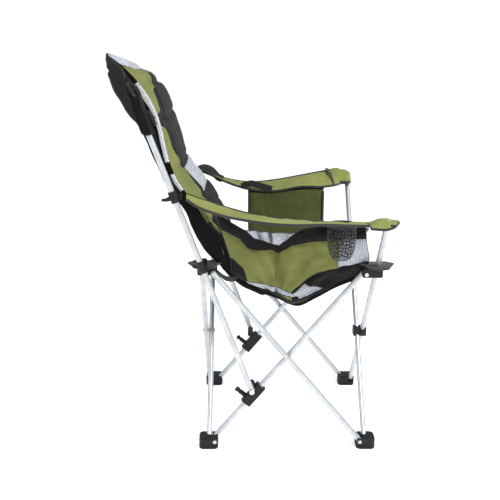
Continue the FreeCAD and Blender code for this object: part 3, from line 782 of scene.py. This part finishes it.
# height share, front Y and rear Y of each side's cloth
SIDE_ENDS = {"right": [(0, -210, 165), (0.3, -222, 166), (0.6, -212, 182), (1, -202, 206)],
             "left": [(0, -210, 165), (0.3, -214, 166), (1, -220, 176)]}
GREY_FRONT = [(-132, 640), (-137, 547), (-230, 568), (-240, 650)]
BAND_LOW_ZONE = BAND_LOW + [(-240, 640), (-240, 760), (31, 700), (240, 760), (210, 672)]
LOW_FRONT = [(-8, 463), (-50, 504), (-82, 528), (-139, 545), (-240, 574), (-240, 470), (-139, 470),
             (-20, 405)]
LOW_REAR = [(166, 578), (132, 546), (118, 505), (80, 490), (40, 474), (35, 440), (110, 450), (200, 530)]
PALE_STRIP = [(126, 508), (48, 480), (-11, 461), (-26, 446), (31, 458), (112, 490)]
PALE_PATCH = [(-13, 457), (-47, 494), (-64, 482), (-102, 479), (-37, 439)]
CREASE_Y = 34
FAN_Y, FAN_Z = 20, 430


def line_at(points, y):
    keys, values = zip(*sorted(points))
    return np.interp(y, keys, values)


def side_plane(z):
    """The side panels lean outwards: distance from the middle by height."""
    return 205 + (z - 540) * 0.36


def side_panel(side):
    sign = SIDES[side]
    rows, columns = 56, 100
    v = np.linspace(0, 1, rows)
    ends = smooth(SIDE_ENDS[side], v)
    share = np.linspace(0, 1, columns)
    yy = ends[:, 0:1] + (ends[:, 1:2] - ends[:, 0:1]) * share[None, :]
    top, low = line_at(SIDE_TOP[side], yy), smooth(sorted(BOTTOM), yy)[..., 0]
    z = low + (top - low) * v[:, None]
    bulge = 12 * np.sin(np.pi * v) ** 0.8
    x = side_plane(z) + bulge[:, None] * (1 - 0.55 * groove(yy - CREASE_Y, 30))
    # the front end runs out to the arm post, and the rear end in behind the back
    x += np.interp(yy, [-212, -150], [14, 0]) * v[:, None]
    band, low_front = inside(BAND_LOW_ZONE, yy, z), inside(LOW_FRONT, yy, z)
    folds = 7 * groove(yy - CREASE_Y - (z - 530) * 0.02, 6) + 10 * groove(yy - CREASE_Y, 22)
    folds += 4 * groove(band, 6)
    # folds that fan out from the foot of the crease, where the cloth is drawn down
    fan, reach = np.arctan2(z - FAN_Z, yy - FAN_Y), np.hypot(yy - FAN_Y, z - FAN_Z)
    reach = np.clip(reach / 60, 0, 1) * np.clip((215 - reach) / 60, 0, 1)
    folds += 5.0 * reach * np.sin(fan * 17 + 0.8 * np.sin(yy / 23))
    folds += 3 * groove(low_front, 6)
    outer = grid_of(x - folds, yy, z)
    outer = wrinkled(outer, 48, 6.0, 11 + sign)
    thick = 10 * np.sin(np.pi * np.clip(v, 0.04, 0.96))[:, None] ** 0.4 + 0 * yy
    inner = outer.copy()
    inner[..., 0] -= thick
    dark = np.maximum.reduce([band, low_front, inside(LOW_REAR, yy, z)])
    pale = np.maximum.reduce([inside(area, yy, z) for area in (GREY_FRONT, PALE_STRIP, PALE_PATCH)])
    pale = np.minimum(pale, -band)
    outer[..., 0] *= sign
    inner[..., 0] *= sign
    piece = pad("side_panel_cloth_" + side, outer, inner, [SIDE_FACE, PALE_MESH, BINDING],
                {"zone_dark": dark, "zone_pale": pale}, rim=2.5)
    return hang(piece, "hub_rear_" + side, bucket_shares(side), ["side_panel_" + side])


ARM_BODY = {"left": "front_1", "right": "front_2"}


def bucket_shares(side):
    """Low on the bucket the four hubs hold the cloth; its upper edge goes with the arm and the back post."""
    def rise(p):
        return np.clip((p[:, 2] - 0.56) / 0.13, 0, 1)

    def forward(p):
        return np.clip((p[:, 1] - HUBS_Y[0]) / (HUBS_Y[1] - HUBS_Y[0]), 0, 1)
    shares = {}
    for name, share in hub_shares().items():
        shares[name] = lambda p, share=share: share(p) * (1 - rise(p))
    shares[ARM_BODY[side]] = lambda p: rise(p) * forward(p)
    shares["post_" + side] = lambda p: rise(p) * (1 - forward(p))
    return shares


# Y, crown Z, edge Z, half width
SEAT_ROWS = [(-222, 566, 536, 168), (-206, 560, 532, 172), (-180, 532, 516, 176), (-139, 503, 492, 176),
             (-78, 474, 454, 172), (-27, 458, 430, 168), (31, 468, 452, 174), (105, 492, 480, 178),
             (148, 516, 507, 182), (186, 545, 545, 186)]
SEAT_SEAMS = (-150, -80, -10, 60, 130)
OLIVE_FROM = 112


def seat():
    rows, columns = 96, 71
    y = np.linspace(SEAT_ROWS[0][0], SEAT_ROWS[-1][0], rows)
    top, edge, half = smooth(SEAT_ROWS, y).T
    u = np.linspace(-1, 1, columns)
    x = half[:, None] * u[None, :]
    rise = np.abs(u) ** 3
    z = top[:, None] + (edge + 8 - top)[:, None] * rise[None, :]
    yy = np.broadcast_to(y[:, None], x.shape)
    depth = np.zeros(x.shape)
    for seam in SEAT_SEAMS:
        depth += 6 * groove(yy - seam, 8)
    for seam in (-OLIVE_FROM, OLIVE_FROM):
        depth += 5 * groove(x - seam, 7)
    upper = grid_of(x, yy, z - depth)
    upper = wrinkled(upper, 60, 3.0, 21)
    ends = smooth([(-222, .5), (-190, .9), (-120, 1), (120, 1), (186, .7)], y)
    lower = upper.copy()
    lower[..., 2] -= 26 * (1 - 0.55 * np.abs(u) ** 4)[None, :] * ends
    olive = np.maximum(np.abs(x) - OLIVE_FROM + 18 * np.cos(yy / 70), -60)
    pale = np.minimum(between(np.abs(x), 60, 140), -150 - yy)
    piece = pad("seat_pad", upper, lower, [SEAT_FACE, BLACK_CLOTH, BINDING],
                {"zone_olive": olive, "zone_pale": pale}, rim=3.0)
    return hang(piece, "hub_rear_right", hub_shares(), ["seat"])


# ---- arms ----------------------------------------------------------------------------------------
# Y, inner X and Z, outer X and Z
ARM_ROWS = {
    "right": [(-262, 318, 694, 384, 704), (-200, 266, 686, 358, 698), (-87, 258, 687, 356, 700),
              (17, 258, 695, 352, 699), (115, 257, 710, 335, 706), (205, 253, 735, 302, 719),
              (262, 250, 754, 281, 738), (284, 251, 762, 275, 752)],
    "left": [(-200, 300, 702, 366, 742), (-180, 272, 702, 362, 742), (-145, 260, 699, 360, 736),
             (-60, 258, 698, 358, 720), (20, 258, 684, 356, 706), (112, 258, 690, 346, 700),
             (205, 255, 722, 306, 722), (262, 251, 752, 283, 744), (284, 251, 760, 275, 754)],
}


def arm(side):
    sign = SIDES[side]
    table = ARM_ROWS[side]
    rows, columns = 90, 21
    y = np.linspace(table[0][0], table[-1][0], rows)
    inner_x, inner_z, outer_x, outer_z = smooth(table, y).T
    u = np.linspace(0, 1, columns)
    x = inner_x[:, None] + (outer_x - inner_x)[:, None] * u
    z = inner_z[:, None] + (outer_z - inner_z)[:, None] * u
    yy = np.broadcast_to(y[:, None], x.shape)
    crown = (1 - np.abs(2 * u - 1) ** 3)[None, :]
    puff = 5.0 - 2.0 * sum(groove(yy - line, 6) for line in (-150, -60, 30, 120, 200))
    upper = grid_of(x, yy, z + crown * puff)
    upper = wrinkled(upper, 42, 2.4, 31 + sign)
    lower = grid_of(x, yy, z - 2.5 - crown * 4)
    upper[..., 0] *= sign
    lower[..., 0] *= sign
    piece = pad("arm_rest_" + side, upper, lower, [ARM_CLOTH, CHARCOAL_CLOTH, BINDING], rim=1.0)
    shares = arm_shares(side)
    hang(piece, ARM_BODY[side], shares, ["arm_" + side])
    for edge, (ex, ez) in (("inner", (inner_x, inner_z)), ("outer", (outer_x, outer_z))):
        path = np.stack([ex * sign, y, ez], axis=1)
        tape = strip(f"arm_binding_{edge}_{side}", path, (0, 0, 1), 7.5, 5.0, BINDING)
        hang(tape, ARM_BODY[side], shares)
    return piece


def arm_shares(side):
    """From the arm post in front to the back post behind."""
    front, rear = -230 * MM + MIDDLE_Y, 270 * MM + MIDDLE_Y
    return {"post_" + side: lambda p: np.clip((p[:, 1] - front) / (rear - front), 0, 1)}


# middle X, Y, Z, half length along Y, half width along X and height of the pocket over each arm post, and how
# blunt its front is, from 0 for a point
POCKETS = {"right": (348, -238, 704, 38, 38, 17, 0.05), "left": (350, -199, 722, 41, 38, 38, 0.62)}


def arm_pocket(side):
    """The end pocket: a soft dome with a bound lower edge; v = -1 is its front."""
    sign = SIDES[side]
    mx, my, mz, ly, lx, lz, blunt = POCKETS[side]
    v = np.linspace(-1, 1, 30)
    u = np.linspace(-1, 1, 33)
    width = smooth([(-1, .2 + .6 * blunt), (-.75, .62 + .4 * blunt), (-.3, .95), (.3, 1), (1, .92)], v)[:, 0]
    height = smooth([(-1, blunt), (-.75, .35 + .75 * blunt), (-.3, .9), (.1, 1), (1, .12 + blunt)], v)[:, 0]
    x = mx + lx * width[:, None] * u[None, :]
    y = my + ly * v[:, None]
    dome = (1 - np.abs(u) ** 2.6)[None, :] ** 0.7
    z = mz - lz * 0.35 + lz * 1.05 * height[:, None] * dome
    tip = smooth([(-1, 12), (-.6, 4), (-.2, 0), (1, 0)], v)[:, 0] * (blunt < 0.5)
    upper = grid_of(x, y, z + tip[:, None])
    upper = wrinkled(upper, 26, 2.0, 41 + sign)
    lower = grid_of(x, y, mz - lz * 0.62 + tip[:, None])
    upper[..., 0] *= sign
    lower[..., 0] *= sign
    piece = pad("arm_pocket_cloth_" + side, upper, lower, [ARM_CLOTH, CHARCOAL_CLOTH, BINDING], rim=2.0)
    hang(piece, ARM_BODY[side], None)
    loop = np.concatenate([upper[:, 0], upper[-1, 1:-1], upper[::-1, -1]])
    rim = strip("pocket_binding_" + side, loop - [0, 0, 2.5], (0, 0, 1), 7.0, 4.5, BINDING)
    hang(rim, ARM_BODY[side], None)
    return piece


POUCH_LOW = 592
# its mouth: radius and height of the rim
MOUTH_RADIUS, MOUTH_HEIGHT = 39.5, 691


def cup_pouch():
    """The net pouch in the right arm, rounded off below and open above."""
    low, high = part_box("cup_holder")
    middle = (low + high) / 2
    cx, cy = middle.x / MM, (middle.y - MIDDLE_Y) / MM - 6
    profile = [(6, POUCH_LOW), (18, 594), (27, 602), (33, 616), (37.5, 638), (39, 666), (39, 690)]
    rows, columns = 40, 48
    radius, height = dense(profile, rows).T
    angle = np.linspace(0, 2 * math.pi, columns, endpoint=False)
    squash = 1 + 0.06 * np.cos(3 * angle)[None, :] * np.linspace(1, 0, rows)[:, None]
    reach = radius[:, None] * squash
    outer = grid_of(cx + reach * np.cos(angle), cy + reach * np.sin(angle), height[:, None])
    inner = outer.copy()
    inner[..., :2] = [cx, cy] + (outer[..., :2] - [cx, cy]) * 0.975
    inner[0, :, 2] += 1.0
    coords = grid_of((angle * 36 * MM)[None, :], ((height - POUCH_LOW) * MM)[:, None], 0.0).reshape(-1, 3)
    piece = double_walled("cup_pouch", outer, inner, coords, [POUCH_MESH])
    hang(piece, ARM_BODY["right"], arm_shares("right"), ["cup_holder"])
    mouth = [(cx + MOUTH_RADIUS * math.cos(a), cy + MOUTH_RADIUS * math.sin(a), MOUTH_HEIGHT)
             for a in np.linspace(0, 2 * math.pi, 49)]
    rim = strip("cup_rim", mouth, (0, 0, 1), 8, 3, BINDING)
    hang(rim, ARM_BODY["right"], arm_shares("right"))


BAG_LOW, BAG_SAG, BAG_WALL = 540, 20, 4


def cooler():
    """The bag under the left arm: walls around an open inside, sagging at the bottom."""
    low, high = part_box("cooler_bag")
    (x0, y0), (x1, y1) = [(corner.x / MM, (corner.y - MIDDLE_Y) / MM) for corner in (low, high)]
    rows, columns = 46, 96
    cx, cy, hx, hy = (x0 + x1) / 2, (y0 + y1) / 2, (x1 - x0) / 2, (y1 - y0) / 2
    # a rounded rectangle seen from above
    angle = np.linspace(0, 1, columns, endpoint=False) * 2 * math.pi
    px, py = (np.sign(wave) * np.abs(wave) ** 0.22 for wave in (np.cos(angle), np.sin(angle)))
    v = np.linspace(0, 1, rows)
    drawn_in = np.exp(-v * 9)[:, None]
    outer = np.zeros((rows, columns, 3))
    outer[..., 0] = cx + hx * px[None, :] * (1 - 0.16 * drawn_in)
    outer[..., 1] = cy + hy * py[None, :] * (1 - 0.02 * drawn_in)
    bottom = BAG_LOW - BAG_SAG * (1 - ((outer[..., 1] - cy) / hy) ** 2)
    top = smooth([(-160, 694), (-60, 692), (20, 680), (112, 684), (140, 688)], outer[..., 1])[..., 0] - 3
    outer[..., 2] = bottom + (top - bottom) * v[:, None]
    wave = 3.0 * np.sin(outer[..., 1] / 17) * np.exp(-((outer[..., 1] + 90) / 50) ** 2)
    outer[..., 0] += wave * np.sign(px)[None, :] * np.sin(np.pi * v)[:, None]
    outer = wrinkled(outer, 60, 4.5, 51, keep_edge=False)
    inner = outer.copy()
    inner[..., :2] = [cx, cy] + (outer[..., :2] - [cx, cy]) * (1 - BAG_WALL / np.array([hx, hy]))
    inner[..., 2] += BAG_WALL * (1 - v)[:, None]
    run = run_along(outer[rows // 2])
    coords = grid_of(run[None, :], (outer[..., 2] - 500) * MM, 0.0).reshape(-1, 3)
    piece = double_walled("cooler_bag_cloth", outer, inner, coords, [BAG_CLOTH, BLACK_CLOTH, BINDING])
    shares = arm_shares("left")
    hang(piece, ARM_BODY["left"], shares, ["cooler_bag"])
    for end, y_edge, sign_y in (("rear", y1, 1), ("front", y0, -1)):
        for face, x_edge, sign_x in (("in", x0, -1), ("out", x1, 1)):
            path = [(x_edge - 3.5 * sign_x, y_edge - 2.5 * sign_y, z) for z in np.linspace(548, 682, 20)]
            tape = strip(f"bag_binding_{end}_{face}", path, (sign_x, -sign_y, 0), 8, 3.5, BINDING)
            hang(tape, ARM_BODY["left"], shares)


# ---- patches, straps and tapes -------------------------------------------------------------------
# outline of a corner patch, X away from the middle and Y
PATCH = [(0, -46), (34, -28), (40, 0), (34, 28), (0, 46), (-34, 28), (-40, 0), (-34, -28)]


# how far out in X and where in Y each end's patches lie
PATCH_PLACES = {"front": (223, -247), "rear": (213, 240)}


def patch(end, side):
    sign = SIDES[side]
    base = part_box(f"patch_{end}_{side}")[0].z / MM
    cx, cy = PATCH_PLACES[end][0] * sign, PATCH_PLACES[end][1]
    rows, columns = 12, 64
    angle = np.linspace(0, 2 * math.pi, columns, endpoint=False)
    corners = np.array(PATCH + PATCH[:1], float)
    key = np.linspace(0, len(PATCH), columns, endpoint=False)
    outline = [np.interp(key, np.arange(len(corners)), corners[:, k])[None, :] for k in (0, 1)]
    share = np.linspace(0.03, 1, rows)[:, None]
    x = cx + sign * outline[0] * share
    y = cy + outline[1] * share
    lift = 0.875 * np.cos(x / 9) + 2.7 * share ** 2 * np.cos(2 * angle)[None, :]
    upper = grid_of(x, y, base + 5.5 + lift)
    lower = grid_of(x, y, base + 1.5 + lift)
    coords = grid_of((x - cx) * MM, (y - cy) * MM, 0.0).reshape(-1, 3)
    piece = double_walled(f"corner_patch_{end}_{side}", upper, lower, coords, [PATCH_CLOTH])
    hang(piece, f"hub_{end}_{side}", None, [f"patch_{end}_{side}"])
    edge = np.concatenate([upper[-1], upper[-1, :1]]) - [0, 0, 1.5]
    rim = strip(f"patch_binding_{end}_{side}", edge, (0, 0, 1), 6, 3, BINDING)
    hang(rim, f"hub_{end}_{side}", None)


def bucket_straps():
    """The straps that tie the seat to the rear hubs, and the binding along the bucket's lower edges."""
    for side, sign in SIDES.items():
        path = dense([(213 * sign, 222, 545), (212 * sign, 209, 536), (210 * sign, 183, 515),
                      (204 * sign, 165, 509), (194 * sign, 146, 508)], 36)
        strap = strip("seat_strap_" + side, path, (0.4 * sign, 0.35, 0.85), 17, 2.4, WEBBING)
        hang(strap, "hub_rear_" + side, None)
        edge = dense([(side_plane(z) * sign, y, z) for y, z in BOTTOM], 90)
        tape = strip("bucket_binding_" + side, edge - [0, 0, 3], (0, 0, 1), 12, 7, BLACK_CLOTH)
        hang(tape, "hub_rear_" + side, bucket_shares(side))


def left_arm_straps():
    """The rear strap standing up in an arc between the collar and the arm, the slack of the bag's top tape
    folded over the arm's inner edge, and the bound mouth of the end pocket across the arm."""
    on_post = arm_shares("left")
    path = dense([(258, 292, 742), (262, 285, 754), (268, 262, 761), (272, 238, 752), (272, 218, 730),
                  (270, 200, 722)], 40)
    strap = strip("arm_loop_left", path, (0.55, -0.35, 0.75), 26, 3.0, WEBBING)
    hang(strap, "post_left", {"front_1": lambda p: 1 - on_post["post_left"](p)})
    path = dense([(256, 136, 700), (255, 120, 707), (255, 102, 710), (255, 84, 705), (256, 60, 698),
                  (257, 34, 690)], 40)
    flap = strip("arm_flap_left", path, (-0.1, 0, 1), 22, 3, WEBBING)
    hang(flap, "front_1", on_post)
    path = dense([(264, -176, 700), (285, -173, 716), (315, -167, 736), (342, -161, 746),
                  (362, -158, 746)], 30)
    mouth = strip("pocket_mouth_left", path, (0.1, 1, 0), 8, 4, BINDING)
    hang(mouth, "front_1", None)


# X, Y, Z of the buckles on the sitter's left
RING = np.linspace(0, 2 * math.pi, 41)
BUCKLES = {"upper": (284, 421, 1040), "lower": (254, 372, 966)}


def side_buckles():
    """Two short tensioning straps with ladder buckles on each edge of the hood."""
    way, across = np.array([0, -0.45, -0.89]), np.array([0, 0.89, -0.45])
    for side, sign in SIDES.items():
        for place, (x, y, z) in BUCKLES.items():
            middle = np.array([x * sign, y, z])
            # a rounded square ring
            c, s = (wave + wave ** 3 for wave in (np.cos(RING), np.sin(RING)))
            rim = middle + 4 * (way * c[:, None] + across * s[:, None])
            ring = strip(f"strap_buckle_{place}_{side}", rim, (sign, 0, 0), 3.0, 2.6, MOULDED)
            hang(ring, "post_" + side, None)
            run = dense([middle - way * 22 - [6 * sign, 0, 0], middle - way * 9, middle, middle + way * 9,
                         middle + way * 20 - [7 * sign, 0, 0]], 30)
            band = strip(f"strap_tape_{place}_{side}", run, across, 8, 1.4, WEBBING)
            hang(band, "post_" + side, None)


# ---- floor, light, camera ------------------------------------------------------------------------
FLOOR_HALF = 14.0
# place in metres, watts, width of each lamp
LAMPS = {"key": ((-2.2, -1.9, 3.1), 150, 1.3), "fill": ((-1.6, 2.8, 2.2), 34, 2.2)}
LIT_BY_WORLD, SEEN_WORLD = 0.58, 1.02


def stage():
    mesh = bpy.data.meshes.new("floor")
    corners = [(x * FLOOR_HALF, y * FLOOR_HALF, 0) for x, y in ((-1, -1), (1, -1), (1, 1), (-1, 1))]
    mesh.from_pydata(corners, [], [(0, 1, 2, 3)])
    mesh.materials.append(studio_floor())
    floor = bpy.data.objects.new("floor", mesh)
    bpy.context.collection.objects.link(floor)
    world = bpy.data.worlds.new("studio")
    world.use_nodes = True
    background = world.node_tree.nodes["Background"]
    background.inputs["Color"].default_value = (1.0, 1.0, 1.0, 1.0)
    paths = world.node_tree.nodes.new("ShaderNodeLightPath")
    strength = world.node_tree.nodes.new("ShaderNodeMapRange")
    strength.inputs["To Min"].default_value = LIT_BY_WORLD
    strength.inputs["To Max"].default_value = SEEN_WORLD
    world.node_tree.links.new(paths.outputs["Is Camera Ray"], strength.inputs["Value"])
    world.node_tree.links.new(strength.outputs["Result"], background.inputs["Strength"])
    bpy.context.scene.world = world
    for name, (place, energy, width) in LAMPS.items():
        light = bpy.data.lights.new(name, "AREA")
        light.energy = energy
        light.size = width
        lamp = bpy.data.objects.new(name, light)
        lamp.location = place
        lamp.rotation_euler = (Vector((0, 0, 0.6)) - Vector(place)).to_track_quat("-Z", "Y").to_euler()
        bpy.context.collection.objects.link(lamp)


# metres; the angles are in radians, the yaw and the pitch from a level look along +X
CAMERA_PLACE = Vector((-2.3265, 0.0241, 1.1306))
PITCH, YAW, ROLL = 0.2473, 0.0081, 0.0033
LENS, SENSOR = 55.73, 36.0


def camera():
    data = bpy.data.cameras.new("camera")
    data.lens = LENS
    data.sensor_width = SENSOR
    data.clip_end = 60
    obj = bpy.data.objects.new("camera", data)
    ahead = Vector((math.cos(YAW) * math.cos(PITCH), -math.sin(YAW) * math.cos(PITCH), -math.sin(PITCH)))
    level = Vector((-math.sin(YAW), -math.cos(YAW), 0))
    upright = level.cross(ahead)
    right = level * math.cos(ROLL) + upright * math.sin(ROLL)
    up = upright * math.cos(ROLL) - level * math.sin(ROLL)
    obj.matrix_world = Matrix.Translation(CAMERA_PLACE) @ Matrix((right, up, -ahead)).transposed().to_4x4()
    bpy.context.collection.objects.link(obj)
    bpy.context.scene.camera = obj


stage()
camera()
bpy.context.scene.view_settings.view_transform = "Standard"
backrest()
back_shell()
post_sleeves()
hood()
seat()
for each in SIDES:
    side_panel(each)
    arm(each)
    arm_pocket(each)
    for end in ("front", "rear"):
        patch(end, each)
cup_pouch()
cooler()
bucket_straps()
left_arm_straps()
side_buckles()

bpy.context.view_layer.update()
